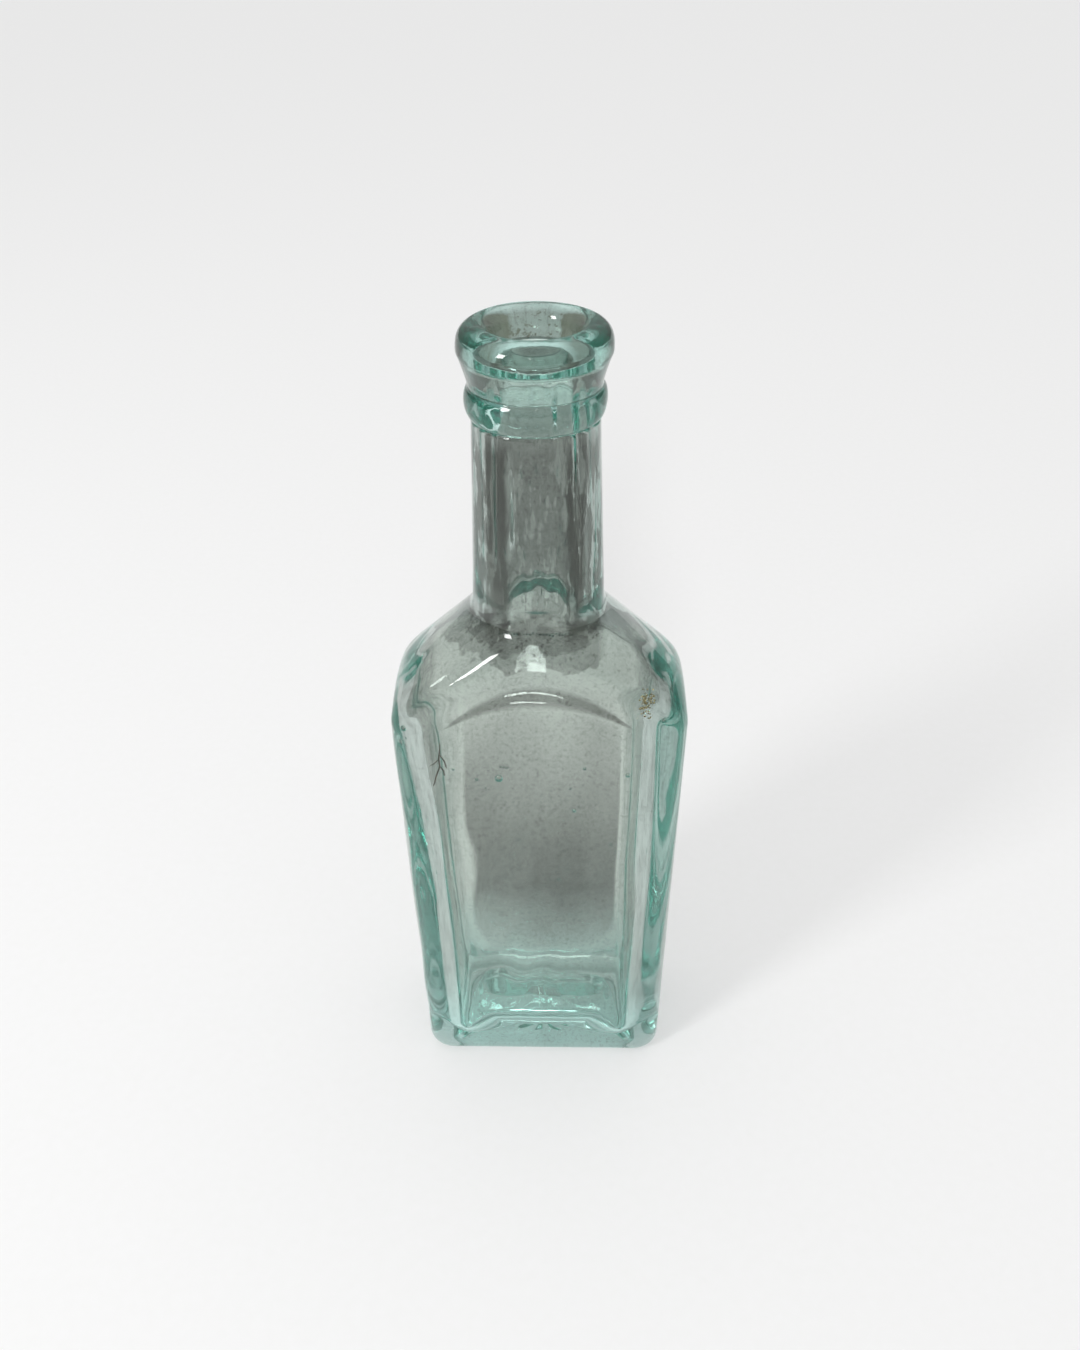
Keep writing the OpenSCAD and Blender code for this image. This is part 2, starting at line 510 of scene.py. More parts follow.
@dataclass(frozen=True)
class AquaGlass:
    """Old soda glass with a little iron in it, which is deep teal where it is thick."""

    name: str
    shade_and_dirt: ShadeAndDirt = ShadeAndDirt.TOP
    passed: Colour = (0.0, 0.68, 0.58)
    density: float = 15.0
    # The clean teal tone paints light on the vessel's thick foot and marks clean patches on the lip and the
    # ring.
    clean_and_lit_tone: Colour = (0.78, 0.985, 0.95)
    # The grey tone below is dust and painted shade; the dark tone under it colours both dirt and painted
    # shade.
    dust_and_shade_tone: Colour = (0.775, 0.80, 0.765)
    dirt_and_shade_tone: Colour = (0.050, 0.053, 0.044)
    ior: float = 1.52
    haze: float = 0.05
    dimple: float = 0.09
    dimple_depth: float = 0.4 * MM
    spots: Grain = Grain(900.0, 4.0, 0.6)
    drift: Grain = Grain(60.0, 3.0, 0.5, (1.0, 1.0, 0.35))
    waves: Grain = Grain(160.0, 2.0, 0.5, (1.0, 1.0, 0.5))
    slow_waves: float = 0.3
    fine_waves: float = 0.12
    spot_edge: Span = (0.55, 0.75)
    smear_edge: Span = (0.45, 0.7)
    spot_share: float = 0.7
    specks: Grain = Grain(1300.0, 5.0, 0.65)
    speck_edge: Span = (0.56, 0.63)
    speck_film: float = 0.26
    drift_edge: Span = (0.35, 0.7)
    drift_middle: float = 0.3
    drift_film: float = 0.20
    clean_patches: Span = (0.3, 0.8)
    worn_foot: Span = (0.4 * MM, 1.6 * MM)
    worn_rough: float = 0.50
    lit_foot: Span = (8.0 * MM, 30.0 * MM)

    def make(self) -> bpy.types.Material:
        """Build the material.

        Returns:
            The glass material. Faces whose "weld" attribute is 1 let everything through unbent.
        """
        finish = Finish(self.name)
        ground = Ground(finish, finish.noise(self.spots), finish.noise(self.drift))
        spots, drift = ground.spots, ground.drift
        spotty = spots.band(*self.spot_edge) * self.spot_share
        smeared = drift.band(*self.smear_edge) * (1 - self.spot_share)
        rough = self.haze * (spotty + smeared)
        rough = rough + self.worn_rough * (1.0 - ground.z.band(*self.worn_foot))
        relief = finish.noise(self.waves) + self.slow_waves * drift + self.fine_waves * spots
        bump = finish.node("Bump", None, Strength=self.dimple, Distance=self.dimple_depth, Height=relief)
        glass = finish.node(
            "BsdfPrincipled", None, Base_Color=self._tint(ground), Roughness=rough,
            IOR=self.ior, Transmission_Weight=1.0, Normal=bump.outputs[0])
        weld = finish.node("Attribute", {"attribute_name": "weld"})
        clear = finish.node("BsdfTransparent")
        inside = finish.node("VolumeAbsorption", None, Color=(*self.passed, 1.0), Density=self.density)
        finish.feed(finish.out.inputs["Volume"], inside.outputs[0])
        return finish.done(finish.node(
            "MixShader", None, in0=weld.outputs["Fac"], in1=glass.outputs[0], in2=clear.outputs[0]))

    def _tint(self, ground: Ground) -> bpy.types.NodeSocket:
        """Colour that each crossing of the surface gives to the light.

        Args:
            ground: Places and noises.

        Returns:
            The colour: a lighter teal painted as light at the thick foot, a dusty grey that also paints
                shade elsewhere, and a dark tone where the painted shade and the dirt are.
        """
        darkness = self.shade_and_dirt.value[0].darkness(ground)
        for darkening in self.shade_and_dirt.value[1:]:
            darkness = darkness + darkening.darkness(ground)
        if self.shade_and_dirt is ShadeAndDirt.VESSEL:
            darkness = darkness + self.drift_film * (ground.drift.band(*self.drift_edge) - self.drift_middle)
            # Painted light: the thick foot is tinted a lighter teal, as if lit from all round.
            lit_and_clean_share = 1.0 - ground.z.band(*self.lit_foot)
        else:
            lit_and_clean_share = 1.0 - ground.drift.band(*self.clean_patches)
        specks = ground.finish.noise(self.specks).band(*self.speck_edge)
        base_tint = ground.finish.blend(lit_and_clean_share, (*self.dust_and_shade_tone, 1.0), (*self.clean_and_lit_tone, 1.0))
        dirt_and_shade_share = (darkness + self.speck_film * specks).band(0.0, 1.0)
        return ground.finish.blend(dirt_and_shade_share, base_tint, (*self.dirt_and_shade_tone, 1.0))


@dataclass(frozen=True)
class DryFinish:
    """A dull dry matter that shades between two colours."""

    name: str
    first: Colour
    second: Colour
    rough: float
    grain: Grain
    edge: Span = (0.35, 0.65)

    def make(self) -> bpy.types.Material:
        """Build the material.

        Returns:
            The material.
        """
        finish = Finish(self.name)
        share = finish.noise(self.grain).band(*self.edge)
        colour = finish.blend(share, (*self.first, 1.0), (*self.second, 1.0))
        return finish.done(finish.node("BsdfPrincipled", None, Base_Color=colour, Roughness=self.rough))


# ---------------------------------------------------------------------------
# Mesh building
# ---------------------------------------------------------------------------


Reach = Union[float, np.ndarray]


def rounded_inset(radius: Reach, rise: float) -> Reach:
    """How far a rounded lower edge still draws in at a height above the floor."""
    left = np.clip(radius - rise, 0, None)
    return radius - np.sqrt(np.clip(radius * radius - left * left, 0, None))


class Ripple:
    """Smooth random relief over a surface, as a sum of waves."""

    def __init__(self, seed: int, around: tuple[int, int], along: Span, waves: int = 14) -> None:
        """Choose the waves.

        Args:
            seed: The seed of the random choice.
            around: The least and most waves in one turn about the upright axis.
            along: The shortest and longest wave along the height, in metres.
            waves: How many waves are added.
        """
        rng = np.random.default_rng(seed)
        self.turns = rng.integers(around[0], around[1] + 1, waves)
        self.rates = 2 * math.pi / rng.uniform(along[0], along[1], waves) * rng.choice([-1, 1], waves)
        self.phases = rng.uniform(0, 2 * math.pi, waves)
        self.weights = rng.uniform(0.5, 1.0, waves)
        self.weights /= math.sqrt(float((self.weights**2).sum()) / 2)

    def at(self, angle: np.ndarray, height: Union[float, np.ndarray]) -> np.ndarray:
        """Relief, about -1 to 1.

        Args:
            angle: Angles about the upright axis.
            height: Heights in metres.

        Returns:
            The relief at each place.
        """
        total = np.zeros_like(angle)
        for turns, rate, phase, weight in zip(self.turns, self.rates, self.phases, self.weights):
            total += weight * np.sin(turns * angle + rate * height + phase)
        return total / 2


def ramp(value: float, low: float, high: float) -> float:
    """How far a value is on its way from the low limit to the high one, held between 0 and 1."""
    return min(max((value - low) / (high - low), 0.0), 1.0)


def smooth_least(a: np.ndarray, b: np.ndarray, blend: Union[float, np.ndarray]) -> np.ndarray:
    """The lesser of two values, rounded where they differ by less than blend."""
    share = np.clip(blend - np.abs(a - b), 0, None) / blend
    return np.minimum(a, b) - share * share * blend / 4


def rounded_reach(angle: np.ndarray, half_w: Reach, half_d: Reach, corner: float) -> np.ndarray:
    """How far a rounded rectangle reaches in each direction.

    Args:
        angle: Directions about its centre.
        half_w: Half its width, along X.
        half_d: Half its depth, along Y.
        corner: Its corner radius.

    Returns:
        The distance from the centre to the edge in each direction.
    """
    roundest, never_zero = 0.98, 1e-9
    corner = np.minimum(corner, roundest * np.minimum(half_w, half_d))
    c, s = np.abs(np.cos(angle)) + never_zero, np.abs(np.sin(angle)) + never_zero
    flat = np.minimum(half_w / c, half_d / s)
    x, y = half_w - corner, half_d - corner
    along = x * c + y * s
    under = np.clip(along**2 - (x * x + y * y - corner * corner), 0, None)
    in_corner = (flat * c > x) & (flat * s > y)
    return np.where(in_corner, along + np.sqrt(under), flat)


def new_mesh(
        name: str, points: np.ndarray, faces: list, weld: Optional[np.ndarray] = None) -> bpy.types.Object:
    """Make a smooth-shaded mesh object.

    Args:
        name: The object's name.
        points: Its vertices.
        faces: Its faces, as tuples of vertex numbers.
        weld: 1 for each face that is fused to another piece of glass, or None.

    Returns:
        The new object, linked to the scene.
    """
    mesh = bpy.data.meshes.new(name)
    mesh.from_pydata([tuple(p) for p in points], [], faces)
    mesh.polygons.foreach_set("use_smooth", [True] * len(mesh.polygons))
    if weld is not None:
        mark = mesh.attributes.new("weld", "FLOAT", "FACE")
        mark.data.foreach_set("value", weld.astype(np.float32))
    mesh.update()
    piece = bpy.data.objects.new(name, mesh)
    bpy.context.scene.collection.objects.link(piece)
    return piece


class Loft:
    """A surface laid over a run of closed rings that all have the same number of points."""

    BUBBLE_AROUND = 12
    BUBBLE_LEVELS = 7

    def __init__(self, count: int) -> None:
        """Start with no rings.

        Args:
            count: How many points each ring has.
        """
        self.count = count
        self.points: list = []
        self.faces: list = []
        self.weld: list = []
        self.rings = 0

    def ring(self, points: np.ndarray, welded: bool = False) -> None:
        """Add a ring, joined to the last one.

        Args:
            points: The ring's points, as a count by 3 array.
            welded: Whether the band up to this ring is fused to another piece of glass.
        """
        self.points.extend(points)
        if self.rings:
            self._join(self.rings - 1, self.rings, welded)
        self.rings += 1

    def _join(self, low: int, high: int, welded: bool) -> None:
        """Add the band of faces between two rings.

        Args:
            low: The number of the ring to start from.
            high: The number of the ring to go to.
            welded: Whether the band is fused to another piece of glass.
        """
        a, b = low * self.count, high * self.count
        for i in range(self.count):
            j = (i + 1) % self.count
            self.faces.append((a + i, a + j, b + j, b + i))
            self.weld.append(float(welded))

    def close(self) -> None:
        """Join the last ring to the first, as on a hoop, with a fused band."""
        self._join(self.rings - 1, 0, True)

    def pole(self, centre: Sequence[float], at_start: bool) -> None:
        """Fill the first or last ring with a fan of triangles about one point.

        Args:
            centre: The point.
            at_start: True for the first ring, False for the last.
        """
        self.points.append(np.array(centre))
        tip = len(self.points) - 1
        base = 0 if at_start else (self.rings - 1) * self.count
        for i in range(self.count):
            j = (i + 1) % self.count
            face = (base + j, base + i, tip) if at_start else (base + i, base + j, tip)
            self.faces.append(face)
            self.weld.append(0.0)

    def bubble(self, centre: np.ndarray, radii: Sequence[float], lean: float = 0.0) -> None:
        """Add a closed bubble inside the glass, its faces turned inward.

        Args:
            centre: Its centre.
            radii: Its three radii.
            lean: How far it leans about Y, in radians.
        """
        around, levels, first = self.BUBBLE_AROUND, self.BUBBLE_LEVELS, len(self.points)
        turn = np.array(Matrix.Rotation(lean, 3, "Y"))
        for k in range(1, levels):
            up = math.pi * k / levels
            for i in range(around):
                a = 2 * math.pi * i / around
                ball = np.array([math.sin(up) * math.cos(a), math.sin(up) * math.sin(a), math.cos(up)])
                self.points.append(centre + turn @ (ball * radii))
        self.points.append(centre + turn @ np.array([0, 0, radii[2]]))
        self.points.append(centre - turn @ np.array([0, 0, radii[2]]))
        top, bottom = len(self.points) - 2, len(self.points) - 1
        for i in range(around):
            j = (i + 1) % around
            self.faces.append((first + j, first + i, top))
            last = first + (levels - 2) * around
            self.faces.append((last + i, last + j, bottom))
            self.weld += [0.0, 0.0]
            for k in range(levels - 2):
                a, b = first + k * around, first + (k + 1) * around
                self.faces.append((a + i, a + j, b + j, b + i))
                self.weld.append(0.0)

    def build(self, name: str) -> bpy.types.Object:
        """Make the mesh object."""
        return new_mesh(name, np.array(self.points), self.faces, np.array(self.weld))


class HoopLoft(Loft):
    """A loft of round rings about the upright axis."""

    def __init__(self, count: int) -> None:
        """Start with no rings, of count points each."""
        super().__init__(count)
        self.angle = np.linspace(0, 2 * math.pi, count, endpoint=False)

    def hoop(self, radius: Reach, z: Reach, welded: bool = False) -> None:
        """Add one round ring, whose radius and height may differ from point to point."""
        x, y = radius * np.cos(self.angle), radius * np.sin(self.angle)
        self.ring(np.stack([x, y, z + 0 * self.angle], axis=1), welded)


@dataclass
class Slope:
    """The round shoulder slope: a straight cone that turns into the neck through a hollow curve."""

    turn: Span
    turn_r: float
    hollow: Span
    hollow_r: float
    angle: float = field(init=False)

    def __post_init__(self) -> None:
        """Work out the outward angle of the cone that touches both curves."""
        dx, dz = self.hollow[0] - self.turn[0], self.hollow[1] - self.turn[1]
        self.angle = math.atan2(dz, dx) - math.acos((self.turn_r + self.hollow_r) / math.hypot(dx, dz))

    def radius(self, z: float) -> float:
        """Radius of the slope at a height.

        Args:
            z: The height.

        Returns:
            The radius, growing without end downward.
        """
        foot_x = self.hollow[0] - self.hollow_r * math.cos(self.angle)
        foot_z = self.hollow[1] - self.hollow_r * math.sin(self.angle)
        if z <= foot_z:
            return foot_x + (foot_z - z) * math.tan(self.angle)
        if z < self.hollow[1]:
            rise = self.hollow[1] - z
            return self.hollow[0] - math.sqrt(self.hollow_r**2 - rise**2)
        return self.hollow[0] - self.hollow_r


@dataclass
class BlownVessel:
    """Foot, body, shoulders and neck, blown in one piece, with the hollow inside it."""

    body_w: float = 60.0 * MM
    body_d: float = 32.0 * MM
    foot_w: float = 56.4 * MM
    foot_d: float = 30.4 * MM
    shoulder_z: float = 101.5 * MM
    corner_r: float = 5.7 * MM
    heel_r: float = 4.0 * MM
    turn_r: float = 9.0 * MM
    neck_z: float = 124.0 * MM
    hollow_curve_r: float = 4.0 * MM
    inner_curve_extra: float = 6.0 * MM
    neck_bottom_r: float = 13.0 * MM
    neck_top_r: float = 11.7 * MM
    ring_z: float = 161.4 * MM
    end_z: float = 172.2 * MM
    finish_r: float = 11.1 * MM
    bore_r: float = 7.4 * MM
    throat_rise: float = 1.0 * MM
    ridge_blend: float = 3.0 * MM
    ridge_blend_extra: float = 0.6 * MM
    inner_blend: float = 8.0 * MM
    face_wall: float = 3.0 * MM
    side_wall: float = 4.2 * MM
    floor_z: float = 5.0 * MM
    front_edge_r: float = 11.0 * MM
    front_edge_half: float = 12.5 * MM
    front_edge_fade: float = 9.5 * MM
    front_edge_least: float = 0.1
    inner_corner_r: float = 8.0 * MM
    inner_heel_r: float = 12.0 * MM
    front_heel_r: float = 4.0 * MM
    front_turn: float = 1.6
    floor_edge_r: float = 5.0 * MM
    hollow_h: float = 7.5 * MM
    hollow_lean: float = 8.0 * MM
    kick_t: float = 4.0 * MM
    kick_blend: float = 2.0 * MM
    rim_w: float = 5.5 * MM
    lean: float = 1.2 * MM
    panel_relief: float = 0.22 * MM
    whittle_relief: float = 0.07 * MM
    inner_relief: float = 0.12 * MM
    bore_relief: float = 0.30 * MM
    bore_turn: float = 0.7
    bore_stretch: float = 1.3
    calm_front: float = 0.25
    foot_relief: float = 0.22 * MM
    crease_z: float = 106.5 * MM
    crease_drop: float = 8.0 * MM
    crease_step: float = 1.3 * MM
    crease_half: float = 19.5 * MM
    crease_rise: float = 4.0 * MM
    front_seeds: tuple[Triple, ...] = (
        (-8.2, 88.9, 0.85), (-26.6, 101.4, 0.60), (24.6, 103.7, 0.52), (18.1, 89.9, 0.52),
        (7.2, 80.3, 0.42), (9.3, 91.6, 0.36), (-12.7, 88.6, 0.36), (15.1, 70.7, 0.32),
        (-4.4, 72.0, 0.30), (4.0, 60.2, 0.30), (-17.4, 91.2, 0.28), (-14.9, 14.9, 0.50))

    def __post_init__(self) -> None:
        """Work out the slopes, the directions of the ring points and the ripples.

        Each ripple has its own seed, so that it stays the same when another one is changed.
        """
        self.outer = Slope((self.body_w / 2 - self.turn_r, self.shoulder_z), self.turn_r,
                           (self.neck_bottom_r + self.hollow_curve_r, self.neck_z), self.hollow_curve_r)
        self.throat_z = self.neck_z + self.throat_rise
        inner_hollow_r = self.hollow_curve_r + self.inner_curve_extra
        inner_w = self.body_w / 2 - self.side_wall
        self.inner = Slope((inner_w - self.turn_r, self.shoulder_z), self.turn_r,
                           (self.bore_r + inner_hollow_r, self.throat_z), inner_hollow_r)
        self.angle = self._directions()
        self.panel_wave = Ripple(3, (2, 7), (35 * MM, 90 * MM))
        self.whittle = Ripple(11, (4, 15), (45 * MM, 160 * MM), 22)
        self.foot_wave = Ripple(5, (3, 14), (3 * MM, 9 * MM))
        self.inner_wave = Ripple(23, (6, 26), (28 * MM, 90 * MM), 24)

    def _directions(self) -> np.ndarray:
        """Directions of the ring points, spread evenly round the body and closely at its corners.

        Returns:
            The angles about the upright axis, for a whole turn.
        """
        side_points, corner_points, front_points = 10, 12, 28
        w, d, r = self.body_w / 2, self.body_d / 2, self.corner_r
        quarter = [(w, y) for y in np.linspace(0, d - r, side_points, endpoint=False)]
        for a in np.linspace(0, math.pi / 2, corner_points, endpoint=False):
            quarter.append((w - r + r * math.cos(a), d - r + r * math.sin(a)))
        quarter += [(x, d) for x in np.linspace(w - r, 0, front_points, endpoint=False)]
        first = [math.atan2(y, x) for x, y in quarter]
        second = [math.pi - a for a in reversed(first[1:])]
        third = [math.pi] + [math.pi + a for a in first[1:]]
        fourth = [2 * math.pi - a for a in reversed(first[1:])]
        return np.array(first + second + third + fourth)

    def _sizes(self, z: float) -> Span:
        """Half width and half depth of the tapered body at a height.

        Args:
            z: The height.

        Returns:
            The half width and the half depth.
        """
        share = ramp(z, 0.0, self.shoulder_z)
        half_w = (self.foot_w + (self.body_w - self.foot_w) * share) / 2
        half_d = (self.foot_d + (self.body_d - self.foot_d) * share) / 2
        return half_w, half_d

    def outer_reach(self, z: float) -> np.ndarray:
        """Outside radius in each direction at a height.

        Args:
            z: The height.

        Returns:
            The radii.
        """
        if z >= self.neck_z:
            share = (z - self.neck_z) / (self.ring_z - self.neck_z)
            radius = self.neck_bottom_r + (self.neck_top_r - self.neck_bottom_r) * share
            return np.full_like(self.angle, radius)
        half_w, half_d = self._sizes(z)
        inset = 0.0
        if z < self.heel_r:
            inset = self.heel_r - math.sqrt(max(self.heel_r**2 - (self.heel_r - z)**2, 0.0))
        block = rounded_reach(self.angle, half_w - inset, half_d - inset, self.corner_r - 0.5 * inset)
        blend = self.ridge_blend + self.ridge_blend_extra * np.cos(self.angle)**8
        return smooth_least(block, np.full_like(block, self.outer.radius(z)), blend)

    def inner_reach(self, z: float) -> np.ndarray:
        """Inside radius in each direction at a height above the floor.

        The front inner edge is broad and round in the middle and sharp toward the corners.

        Args:
            z: The height.

        Returns:
            The radii.
        """
        half_w, half_d = self._sizes(z)
        half_w, half_d = half_w - self.side_wall, half_d - self.face_wall
        rise = z - self.floor_z
        front = np.clip(0.5 - self.front_turn * np.sin(self.angle), 0, 1)
        off_centre = np.abs(half_d / (np.tan(self.angle) + 1e-9))
        swell = 1 - np.clip((off_centre - self.front_edge_half) / self.front_edge_fade, 0, 1)
        swell = swell * swell * (3 - 2 * swell)
        front_edge = self.front_edge_r * (self.front_edge_least + (1 - self.front_edge_least) * swell)
        edge = self.floor_edge_r + (front_edge - self.floor_edge_r) * (np.sin(self.angle) < 0)
        heel = self.inner_heel_r + (self.front_heel_r - self.inner_heel_r) * front
        block = rounded_reach(self.angle, half_w - rounded_inset(heel, rise),
                              half_d - rounded_inset(edge, rise), self.inner_corner_r)
        return smooth_least(block, np.full_like(block, self.inner.radius(z)), self.inner_blend)

    def _ring(self, reach: np.ndarray, z: Union[float, np.ndarray], shift: float = 0.0) -> np.ndarray:
        """Points of one ring, as a count by 3 array, moved by shift along X."""
        x, y = reach * np.cos(self.angle) + shift, reach * np.sin(self.angle)
        return np.stack([x, y, np.broadcast_to(z, x.shape)], axis=1)

    def _outside_relief(self, z: float) -> np.ndarray:
        """Hand-made unevenness of the outside at a height.

        Args:
            z: The height.

        Returns:
            How far each point stands out.
        """
        neck_fade, calm_foot = 6 * MM, 12 * MM
        on_neck = ramp(z, self.neck_z, self.neck_z + neck_fade)
        low = min(z / calm_foot, 1.0)
        panel = -self.panel_relief * self.panel_wave.at(self.angle, z)**2
        neck = self.whittle_relief * self.whittle.at(self.angle, z)
        return low * ((1 - on_neck) * panel + on_neck * neck)

    def _inside_relief(self, z: float) -> np.ndarray:
        """Hand-made unevenness of the inside at a height, strongest near the upright corners.

        Args:
            z: The height.

        Returns:
            How far each point stands out.
        """
        below_neck, into_neck, body_fade = 2 * MM, 16 * MM, (4 * MM, 12 * MM)
        on_neck = ramp(z, self.neck_z - below_neck, self.neck_z + into_neck)
        on_body = ramp(self.neck_z - z, *body_fade)
        side = self.calm_front + (1 - self.calm_front) * np.cos(self.angle)**2
        body = self.inner_relief * side * self.inner_wave.at(self.angle, z)
        neck = self.bore_relief * self.whittle.at(self.angle + self.bore_turn, z * self.bore_stretch)
        return on_body * (body + self._crease(z)) + on_neck * neck

    def _crease(self, z: float) -> np.ndarray:
        """How much nearer the axis the front wall's inside is above the crescent.

        Args:
            z: The height.

        Returns:
            The change of radius in each direction.
        """
        front_edge = 3
        across = self.inner_reach(z) * np.cos(self.angle) / self.crease_half
        above = np.clip((z - self.crease_z + self.crease_drop * across**2) / self.crease_rise, 0, 1)
        fade = np.clip(1 - across**2, 0, 1) * np.clip(-np.sin(self.angle) * front_edge, 0, 1)
        return -self.crease_step * fade * (0.5 - 0.5 * np.cos(math.pi * above))

    def _hollow_reach(self, step: float) -> np.ndarray:
        """Radius of the foot's hollow in each direction.

        Args:
            step: 0 at its edge, 1 at its top.

        Returns:
            The radii.
        """
        half_w = self.foot_w / 2 - self.rim_w - self.hollow_lean * step
        half_d = self.foot_d / 2 - self.rim_w - self.hollow_lean * step
        return rounded_reach(self.angle, half_w, half_d, self.corner_r * (1 - 0.5 * step))

    def _kick_height(self, x: np.ndarray, y: np.ndarray) -> np.ndarray:
        """Height above the foot of the glass pushed up over the hollow.

        Args:
            x: Places along the width.
            y: Places along the depth.

        Returns:
            The heights.
        """
        slope = self.hollow_h / self.hollow_lean
        reach_w = self.foot_w / 2 - self.rim_w + self.kick_t
        reach_d = self.foot_d / 2 - self.rim_w + self.kick_t
        walls = smooth_least((reach_w - np.abs(x)) * slope, (reach_d - np.abs(y)) * slope, self.kick_blend)
        return smooth_least(walls, np.full_like(walls, self.hollow_h + self.kick_t), self.kick_blend)

    def _lay_foot(self, loft: Loft) -> None:
        """Add the rings of the hollow under the foot, from its middle to its edge.

        Args:
            loft: The surface under construction.
        """
        wall_rings, ease, wall_length = 26, 0.045, 9 * MM
        for share in (0.15, 0.35, 0.55, 0.75, 0.9):
            loft.ring(self._ring(self._hollow_reach(1.0) * share, self.hollow_h))
        for step in np.linspace(1, 0, wall_rings):
            eased = step + ease * math.sin(2 * math.pi * step)
            wave = self.foot_wave.at(self.angle, step * wall_length)
            rough = self.foot_relief * wave * math.sin(math.pi * step)
            loft.ring(self._ring(self._hollow_reach(step) + rough, self.hollow_h * eased))

    def _lay_outside(self, loft: Loft) -> None:
        """Add the rings from the resting rim up to the cut-off neck end.

        Args:
            loft: The surface under construction.
        """
        body_step, shoulder_step, neck_step = 1.4 * MM, 0.55 * MM, 1.1 * MM
        heel_rings, end_rings, top_rings = 9, 12, 6
        turns = [self.heel_r * (1 - math.cos(a)) for a in np.linspace(0, math.pi / 2, heel_rings)]
        below_turn = self.shoulder_z - 8 * MM
        body = list(np.arange(self.heel_r + 1 * MM, below_turn, body_step))
        shoulder = list(np.arange(below_turn, self.neck_z + 1 * MM, shoulder_step))
        neck = list(np.arange(self.neck_z + 1.4 * MM, self.ring_z, neck_step))
        for z in turns + body + shoulder + neck + [self.ring_z]:
            loft.ring(self._ring(self.outer_reach(z) + self._outside_relief(z), z))
        full = np.ones_like(self.angle)
        for z in np.linspace(self.ring_z, self.end_z, end_rings):
            loft.ring(self._ring(full * self.finish_r, z), welded=True)
        for radius in np.linspace(self.finish_r, self.bore_r, top_rings)[1:]:
            loft.ring(self._ring(full * radius, self.end_z), welded=True)

    def _lay_inside(self, loft: Loft) -> None:
        """Add the rings from the neck end down the bore and the cavity to the floor.

        Args:
            loft: The surface under construction.
        """
        bore_step, dome_step, body_step = 1.0 * MM, 0.5 * MM, 1.2 * MM
        heel_rings, heel_turn, floor_rings = 22, 1.5, 24
        bore_fade, calm_floor, lean_fade = 6 * MM, 10 * MM, 12 * MM
        lean_foot, lean_head = 50 * MM, 100 * MM
        kick_blend, floor_length = 1.5 * MM, 20 * MM
        for z in np.arange(self.end_z - bore_step, self.throat_z, -bore_step):
            blend = min((self.end_z - z) / bore_fade, 1.0)
            loft.ring(self._ring(self.bore_r + blend * self._inside_relief(z), z))
        dome = list(np.arange(self.throat_z, self.shoulder_z - 6 * MM, -dome_step))
        body = list(np.arange(dome[-1] - 1 * MM, self.floor_z + self.inner_heel_r, -body_step))
        heel = [self.floor_z + self.inner_heel_r * (1 - math.sin(a))
                for a in np.linspace(0, heel_turn, heel_rings)]
        for z in dome + body + heel:
            calm = min((z - self.floor_z) / calm_floor, 1.0)
            lean = -self.lean * ramp(z, lean_foot, lean_head) * (z < self.neck_z)
            lean *= ramp(self.neck_z - z, 0.0, lean_fade)
            loft.ring(self._ring(self.inner_reach(z) + calm * self._inside_relief(z), z, lean))
        last = self.inner_reach(heel[-1])
        for share in np.linspace(0.96, 0.04, floor_rings):
            flat = self._ring(last * share, heel[-1])
            floor = -smooth_least(-flat[:, 2], -self._kick_height(flat[:, 0], flat[:, 1]), kick_blend)
            uneven = self.inner_relief * self.foot_wave.at(self.angle, share * floor_length) * share
            flat[:, 2] = floor + uneven
            loft.ring(flat)

    def build(self) -> bpy.types.Object:
        """Build the vessel.

        Returns:
            The vessel's object.
        """
        loft = Loft(len(self.angle))
        self._lay_foot(loft)
        self._lay_outside(loft)
        self._lay_inside(loft)
        loft.pole((0, 0, self.hollow_h + self.kick_t), at_start=False)
        loft.pole((0, 0, self.hollow_h), at_start=True)
        rng = np.random.default_rng(77)
        self._seed_panels(loft, rng)
        self._seed_neck(loft, rng)
        return loft.build("vessel")

    def _seed_panels(self, loft: Loft, rng: np.random.Generator) -> None:
        """Put air bubbles in the body's walls: a few placed ones and many tiny ones.

        Args:
            loft: The surface under construction.
            rng: The source of the random places and sizes.
        """
        many, many_at_sides = 34, 26
        sizes, side_sizes = (0.08, 0.2), (0.12, 0.3)
        across, upward, side_upward = (-15, 15), (20, 98), (25, 98)
        front = -self.body_d / 2 + 0.5 * self.face_wall
        for x, z, size in self.front_seeds:
            place = np.array([x * MM, front + 0.1 * MM, z * MM])
            loft.bubble(place, np.array([size, 0.6 * size, size * 1.1]) * MM)
        for _ in range(many):
            size = rng.uniform(*sizes) * MM
            face = rng.choice([-1, 1])
            place = np.array([rng.uniform(*across) * MM, 0, rng.uniform(*upward) * MM])
            half_d = self._sizes(place[2])[1]
            place[1] = face * (half_d - 0.5 * self.face_wall + rng.uniform(-0.5, 0.5) * MM)
            loft.bubble(place, size * np.array([1, 0.8, rng.uniform(1, 1.8)]))
        for _ in range(many_at_sides):
            size = rng.uniform(*side_sizes) * MM
            z = rng.uniform(*side_upward) * MM
            side = rng.choice([-1, 1])
            x = side * (self._sizes(z)[0] - 0.5 * self.side_wall - rng.uniform(-0.6, 1.0) * MM)
            place = np.array([x, rng.uniform(-9, -2) * MM, z])
            loft.bubble(place, size * np.array([0.7, 1, rng.uniform(1.2, 3)]))

